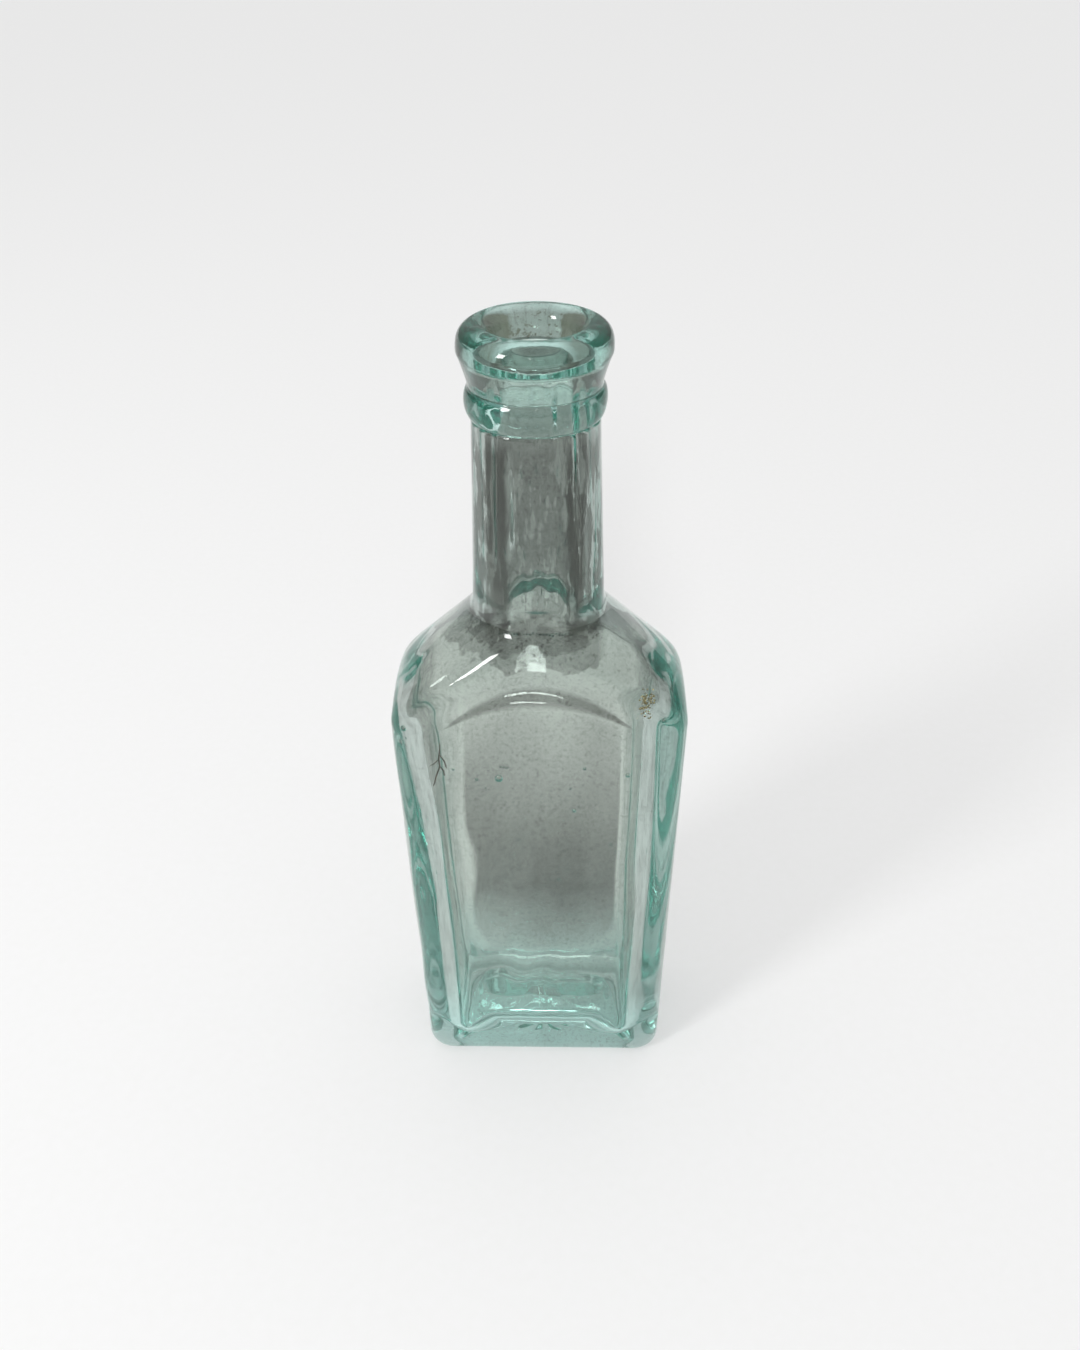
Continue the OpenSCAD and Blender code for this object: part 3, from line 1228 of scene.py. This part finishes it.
    def _seed_neck(self, loft: Loft, rng: np.random.Generator) -> None:
        """Put drawn-out bubbles in the front of the neck, and an arc of small ones at its foot.

        Args:
            loft: The surface under construction.
            rng: The source of the random places and sizes.
        """
        many, many_in_arc = 22, 24
        wall_r, arc_r, arc_z, arc_drop, arc_half = 10.2 * MM, 11.6 * MM, 122.4, 1.7, 34
        upward, lengths, thick, arc_sizes = (128, 159), (0.3, 1.1), 0.11, (0.12, 0.26)
        for _ in range(many):
            turn = math.radians(-90 + rng.uniform(-32, 38))
            z = rng.uniform(*upward) * MM
            place = np.array([wall_r * math.cos(turn), wall_r * math.sin(turn), z])
            radii = np.array([thick, thick, rng.uniform(*lengths)]) * MM
            loft.bubble(place, radii, rng.uniform(-0.25, 0.25))
        for step in np.linspace(-1, 1, many_in_arc):
            turn = math.radians(-92 + arc_half * step)
            z = (arc_z - arc_drop * abs(step) + rng.uniform(-0.4, 0.4)) * MM
            place = np.array([arc_r * math.cos(turn), arc_r * math.sin(turn), z])
            loft.bubble(place, np.full(3, rng.uniform(*arc_sizes) * MM))


@dataclass
class StringRing:
    """The trail of glass wound round the neck end below the lip."""

    low_z: float = 161.4 * MM
    high_z: float = 167.2 * MM
    inner_r: float = 11.1 * MM
    low_r: float = 11.75 * MM
    wide_r: float = 12.8 * MM
    groove_r: float = 12.1 * MM
    roundness: float = 0.55
    steepness: float = 1.06
    uneven: float = 0.09 * MM
    uneven_edge: float = 0.12 * MM
    gap: float = 0.04 * MM
    count: int = 160

    def build(self) -> bpy.types.Object:
        """Build the ring.

        Returns:
            The ring's object.
        """
        wave = Ripple(31, (1, 6), (8 * MM, 30 * MM))
        loft = HoopLoft(self.count)
        tall = self.high_z - self.low_z
        inner = self.inner_r + self.gap
        loft.hoop(inner, self.high_z)
        for z in np.linspace(self.high_z, self.low_z + self.gap, 8)[1:]:
            loft.hoop(inner, z, welded=True)
        low = self.low_z + self.gap + self.uneven_edge * wave.at(loft.angle, 0.0)
        loft.hoop(self.low_r, low, welded=True)
        for share in np.linspace(0.04, 0.97, 18):
            bulge = math.sin(math.pi * min(share * self.steepness, 1.0)) ** self.roundness
            base = self.low_r + (self.groove_r - self.low_r) * share
            radius = base + (self.wide_r - 0.5 * (self.low_r + self.groove_r)) * bulge
            radius = radius + self.uneven * wave.at(loft.angle, share * tall)
            loft.hoop(radius, low + share * (self.high_z - low))
        loft.hoop(self.groove_r, self.high_z)
        loft.hoop(0.5 * (self.groove_r + inner), self.high_z, welded=True)
        loft.close()
        return loft.build("ring_of_glass")


@dataclass
class FlaredLip:
    """The lip laid over the neck end: flared, with a rounded rim and a smooth mouth edge."""

    low_z: float = 167.2 * MM
    rim_z: float = 177.8 * MM
    neck_end_z: float = 172.2 * MM
    inner_r: float = 11.1 * MM
    bore_r: float = 7.4 * MM
    root_r: float = 12.1 * MM
    wide_r: float = 13.8 * MM
    wide_z: float = 173.3 * MM
    edge_r: float = 2.6 * MM
    flare: float = 1.25
    squareness: float = 0.72
    uneven: float = 0.13 * MM
    gap: float = 0.04 * MM
    count: int = 160

    def _outline(self) -> list:
        """Outside of the lip from its root over the rim to the mouth.

        Returns:
            The outline's points, as (radius, height) pairs.
        """
        points = [(self.root_r, self.low_z + self.gap)]
        for share in np.linspace(0.08, 1.0, 12):
            points.append((self.root_r + (self.wide_r - self.root_r) * share**self.flare,
                           self.low_z + (self.wide_z - self.low_z) * share))
        crest = self.bore_r + self.edge_r
        for a in np.linspace(0.06, math.pi / 2, 16):
            points.append((crest + (self.wide_r - crest) * math.cos(a) ** self.squareness,
                           self.wide_z + (self.rim_z - self.wide_z) * math.sin(a) ** self.squareness))
        for a in np.linspace(0.12, math.pi / 2, 12):
            points.append((crest - self.edge_r * math.sin(a), self.rim_z - self.edge_r * (1 - math.cos(a))))
        return points

    def build(self) -> bpy.types.Object:
        """Build the lip.

        Returns:
            The lip's object.
        """
        wave = Ripple(47, (1, 5), (12 * MM, 40 * MM), 10)
        loft = HoopLoft(self.count)
        inner = self.inner_r + self.gap
        top = self.neck_end_z + self.gap
        for z in np.linspace(top, self.low_z + self.gap, 8):
            loft.hoop(inner, z, welded=loft.rings > 0)
        loft.hoop(0.5 * (self.root_r + inner), self.low_z + self.gap, welded=True)
        root, *rest = self._outline()
        loft.hoop(*root, welded=True)
        for radius, z in rest:
            uneven = self.uneven * min(1.0, (radius - self.bore_r) / (3 * MM))
            loft.hoop(radius + uneven * wave.at(loft.angle, z), z)
        for z in np.linspace(self.rim_z - self.edge_r - 0.4 * MM, top, 5):
            loft.hoop(self.bore_r, z)
        for radius in np.linspace(self.bore_r, inner, 5)[1:-1]:
            loft.hoop(radius, top, welded=True)
        loft.close()
        return loft.build("lip_of_glass")


@dataclass
class Crust:
    """A few dry yellow grains stuck inside the right shoulder."""

    place: Triple = (21.0 * MM, -12.6 * MM, 106.6 * MM)
    spread: Triple = (1.5 * MM, 0.15 * MM, 2.9 * MM)
    grains: int = 80

    def build(self) -> bpy.types.Object:
        """Build the grains.

        Returns:
            The grains' object.
        """
        rng = np.random.default_rng(19)
        scatter, jitter, sizes, spikes = 0.5, 0.12, (0.10, 0.30), (0.6, 1.3)
        points: list = []
        faces: list = []
        for _ in range(self.grains):
            centre = np.array(self.place) + np.clip(rng.normal(0, scatter, 3), -1, 1) * self.spread
            size = rng.uniform(*sizes) * MM
            first = len(points)
            for axis in range(3):
                for sign in (1, -1):
                    tip = np.zeros(3)
                    tip[axis] = sign * size * rng.uniform(*spikes)
                    points.append(centre + tip + rng.normal(0, jitter, 3) * size)
            sides = (0, 2, 1, 3)
            for a, b in zip(sides, sides[1:] + sides[:1]):
                faces.append((first + a, first + b, first + 4))
                faces.append((first + b, first + a, first + 5))
        return new_mesh("crust", np.array(points), faces)

    def finish(self) -> bpy.types.Material:
        """Build the grains' material."""
        pale, dark = (0.80, 0.70, 0.42), (0.45, 0.33, 0.15)
        return DryFinish("ochre_crust", pale, dark, 0.75, Grain(2500.0, 2.0)).make()


@dataclass
class Fibre:
    """A dark branching fibre stuck to the inside of the front wall, at the left."""

    start: Triple = (-20.2 * MM, -12.55 * MM, 97.0 * MM)
    thick: float = 0.17 * MM
    tip: float = 0.45

    def build(self) -> bpy.types.Object:
        """Build the fibre as tapering tubes.

        Returns:
            The fibre's object.
        """
        stem = [(0.3, 0, 0.0), (0.1, 0.05, -2.0), (-0.2, 0.1, -4.1), (-0.1, 0.1, -6.0), (-0.9, 0.05, -8.4),
                (-1.6, 0.05, -11.0)]
        branches = [stem, [(-0.2, 0.1, -4.1), (-1.2, 0.15, -5.2), (-1.9, 0.1, -5.6)],
                    [(0.1, 0.05, -3.0), (0.9, 0.1, -4.6), (1.2, 0.15, -6.4)],
                    [(-0.1, 0.1, -6.0), (0.6, 0.1, -7.2), (0.7, 0.05, -8.3)]]
        points: list = []
        faces: list = []
        for place in branches:
            self._tube(np.array(place) * MM + np.array(self.start), points, faces)
        return new_mesh("fibre", np.array(points), faces)

    def _tube(self, path: np.ndarray, points: list, faces: list) -> None:
        """Add one closed tube that tapers toward both ends.

        Args:
            path: The tube's middle line, from its top down.
            points: The vertices so far, which the tube's are added to.
            faces: The faces so far, which the tube's are added to.
        """
        around, first = 8, len(points)
        for k, centre in enumerate(path):
            radius = self.thick * (self.tip + (1 - self.tip) * math.sin(math.pi * (k + 0.5) / len(path)))
            for i in range(around):
                a = 2 * math.pi * i / around
                points.append(centre + radius * np.array([math.cos(a), math.sin(a), 0]))
        points.append(path[0] + np.array([0, 0, self.thick]))
        points.append(path[-1] - np.array([0, 0, self.thick]))
        top, bottom = len(points) - 2, len(points) - 1
        last = first + (len(path) - 1) * around
        for i in range(around):
            j = (i + 1) % around
            faces.append((first + i, first + j, top))
            faces.append((last + j, last + i, bottom))
            for k in range(len(path) - 1):
                a, b = first + k * around, first + (k + 1) * around
                faces.append((a + j, a + i, b + i, b + j))

    def finish(self) -> bpy.types.Material:
        """Build the fibre's material."""
        dark, pale = (0.060, 0.045, 0.032), (0.16, 0.11, 0.07)
        return DryFinish("brown_fibre", dark, pale, 0.7, Grain(1500.0, 2.0)).make()


# ---------------------------------------------------------------------------
# Studio
# ---------------------------------------------------------------------------


@dataclass(frozen=True)
class Viewpoint:
    """Where the camera stands: close, above the bottle and looking down at it."""

    side: float = 0.06 * MM
    back: float = 195.98 * MM
    height: float = 241.93 * MM
    pitch: float = 35.11
    turn: float = 1.76
    roll: float = 0.81
    lens: float = 30.865
    sensor: float = 36.0

    def make(self) -> bpy.types.Object:
        """Build the camera and make it the scene's.

        Returns:
            The camera.
        """
        data = bpy.data.cameras.new("camera")
        data.lens = self.lens
        data.sensor_width = self.sensor
        data.clip_start = 0.01
        camera = bpy.data.objects.new("camera", data)
        bpy.context.scene.collection.objects.link(camera)
        turn = Matrix.Rotation(math.radians(self.turn), 4, "Z")
        tilt = Matrix.Rotation(math.radians(90 - self.pitch), 4, "X")
        roll = Matrix.Rotation(math.radians(-self.roll), 4, "Z")
        stand = Matrix.Translation((self.side, -self.back, self.height))
        camera.matrix_world = turn @ stand @ tilt @ roll
        bpy.context.scene.camera = camera
        return camera


@dataclass(frozen=True)
class Studio:
    """A pale sweep of floor, soft light from behind the camera, and dimmer surroundings."""

    floor_half: float = 8.0
    floor_tone: float = 0.60
    floor_glow: float = 0.26
    horizon_tone: float = 0.34
    zenith_tone: float = 0.84
    floor_fade: float = 0.985
    floor_warm: float = 0.98
    floor_grain: Grain = Grain(400.0, 3.0)
    grain_edge: Span = (0.3, 0.7)
    floor_rough: float = 0.9
    key_towards: Triple = (-0.02, -0.93, 0.44)
    key_power: float = 1.75
    key_spread: float = 14.0
    window_at: Triple = (-0.75, -0.62, 0.62)
    window_size: Span = (0.22, 0.34)
    window_power: float = 5.0
    aim_z: float = 0.12

    def make(self) -> None:
        """Build the floor, the lights and the surroundings.

        The floor glows a little, so that the glass that rests on it isn't dark underneath.
        """
        h = self.floor_half
        floor = new_mesh("floor", np.array([(-h, -h, 0), (h, -h, 0), (h, h, 0), (-h, h, 0)]), [(0, 1, 2, 3)])
        floor.data.materials.append(self._paper())
        self._surroundings()
        self._sun("key", self.key_towards, self.key_power, self.key_spread)
        self._panel("window", self.window_at, self.window_size, self.window_power)

    def _paper(self) -> bpy.types.Material:
        """Build the floor's material.

        Returns:
            A matt, pale, slightly glowing paper.
        """
        finish = Finish("pale_floor")
        tone, warm = self.floor_tone, self.floor_tone * self.floor_fade
        share = finish.noise(self.floor_grain).band(*self.grain_edge)
        shade = finish.blend(share, (tone, tone, tone, 1.0), (warm, warm, tone * self.floor_warm, 1.0))
        return finish.done(finish.node(
            "BsdfPrincipled", None, Base_Color=shade, Roughness=self.floor_rough,
            Emission_Color=(1.0, 1.0, 1.0, 1.0), Emission_Strength=self.floor_glow))

    def _surroundings(self) -> None:
        """Make a sky that is dim at the horizon and bright overhead.

        The glow follows the height of the direction that the light comes from.
        """
        world = bpy.data.worlds.new("surroundings")
        bpy.context.scene.world = world
        world.use_nodes = True
        graph = Graph(world.node_tree, "OutputWorld")
        towards = graph.node("TexCoord").outputs["Generated"]
        height = graph.value(graph.node("SeparateXYZ", None, Vector=towards).outputs["Z"])
        glow = self.horizon_tone + (self.zenith_tone - self.horizon_tone) * height.band(0.0, 1.0)
        back = graph.node("Background", None, Color=(1.0, 1.0, 1.0, 1.0), Strength=glow)
        graph.feed(graph.out.inputs["Surface"], back.outputs[0])

    def _sun(self, name: str, towards: Triple, power: float, spread: float) -> None:
        """Add an even light.

        Args:
            name: Its name.
            towards: The direction of the light from the bottle, as a vector.
            power: Its strength.
            spread: Its angular size in degrees.
        """
        data = bpy.data.lights.new(name, "SUN")
        data.energy = power
        data.angle = math.radians(spread)
        lamp = bpy.data.objects.new(name, data)
        lamp.visible_glossy = False
        bpy.context.scene.collection.objects.link(lamp)
        lamp.rotation_euler = Vector(towards).to_track_quat("Z", "Y").to_euler()

    def _panel(self, name: str, place: Triple, size: Span, power: float) -> None:
        """Add a softbox that looks at the bottle's shoulder.

        Args:
            name: Its name.
            place: Where it hangs.
            size: Its two sides.
            power: Its power in watts.
        """
        data = bpy.data.lights.new(name, "AREA")
        data.shape = "RECTANGLE"
        data.size, data.size_y = size
        data.energy = power
        lamp = bpy.data.objects.new(name, data)
        bpy.context.scene.collection.objects.link(lamp)
        lamp.location = place
        away = Vector(place) - Vector((0, 0, self.aim_z))
        lamp.rotation_euler = away.to_track_quat("Z", "Y").to_euler()


def dress(piece: bpy.types.Object, material: bpy.types.Material, node: str) -> None:
    """Give a piece its material, put it under the root body, and hide the CAD node that it replaces.

    Args:
        piece: The piece.
        material: Its material.
        node: The CAD node that it replaces.
    """
    piece.data.materials.append(material)
    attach(piece, "root")
    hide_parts(node)
    LOG.info("%s: %d points", piece.name, len(piece.data.vertices))


def set_bounces() -> None:
    """Let light cross and echo in the glass often enough for its thick edges to stay bright.

    A reflection inside the glass counts as glossy, so that limit is raised as well.
    """
    bounces = 32
    cycles = bpy.context.scene.cycles
    cycles.max_bounces = bounces
    cycles.transmission_bounces = bounces
    cycles.glossy_bounces = bounces
    cycles.transparent_max_bounces = bounces
    bpy.context.scene.view_settings.view_transform = "Standard"


def main() -> None:
    """Build the bottle and its studio.

    The crust and the fibre stick to the vessel, so they stand for its node too.
    """
    logging.basicConfig(level=logging.INFO, format="%(name)s: %(message)s")
    Viewpoint().make()
    Studio().make()
    set_bounces()
    vessel_glass = AquaGlass("vessel_glass", ShadeAndDirt.VESSEL)
    # The ring's dark teal tone paints shade at its left and right; the lip's brown tone darkens its mouth
    # and paints shade at its sides.
    ring_glass = AquaGlass("ring_glass", density=120.0, dirt_and_shade_tone=(0.012, 0.09, 0.075), haze=0.12, dimple=0.2)
    lip_glass = AquaGlass("lip_glass", density=32.0, dirt_and_shade_tone=(0.075, 0.070, 0.048), haze=0.16, dimple=0.3)
    dress(BlownVessel().build(), vessel_glass.make(), "blown_vessel")
    dress(StringRing().build(), ring_glass.make(), "string_ring")
    dress(FlaredLip().build(), lip_glass.make(), "applied_lip")
    crust, fibre = Crust(), Fibre()
    dress(crust.build(), crust.finish(), "blown_vessel")
    dress(fibre.build(), fibre.finish(), "blown_vessel")


if __name__ == "__main__":
    main()
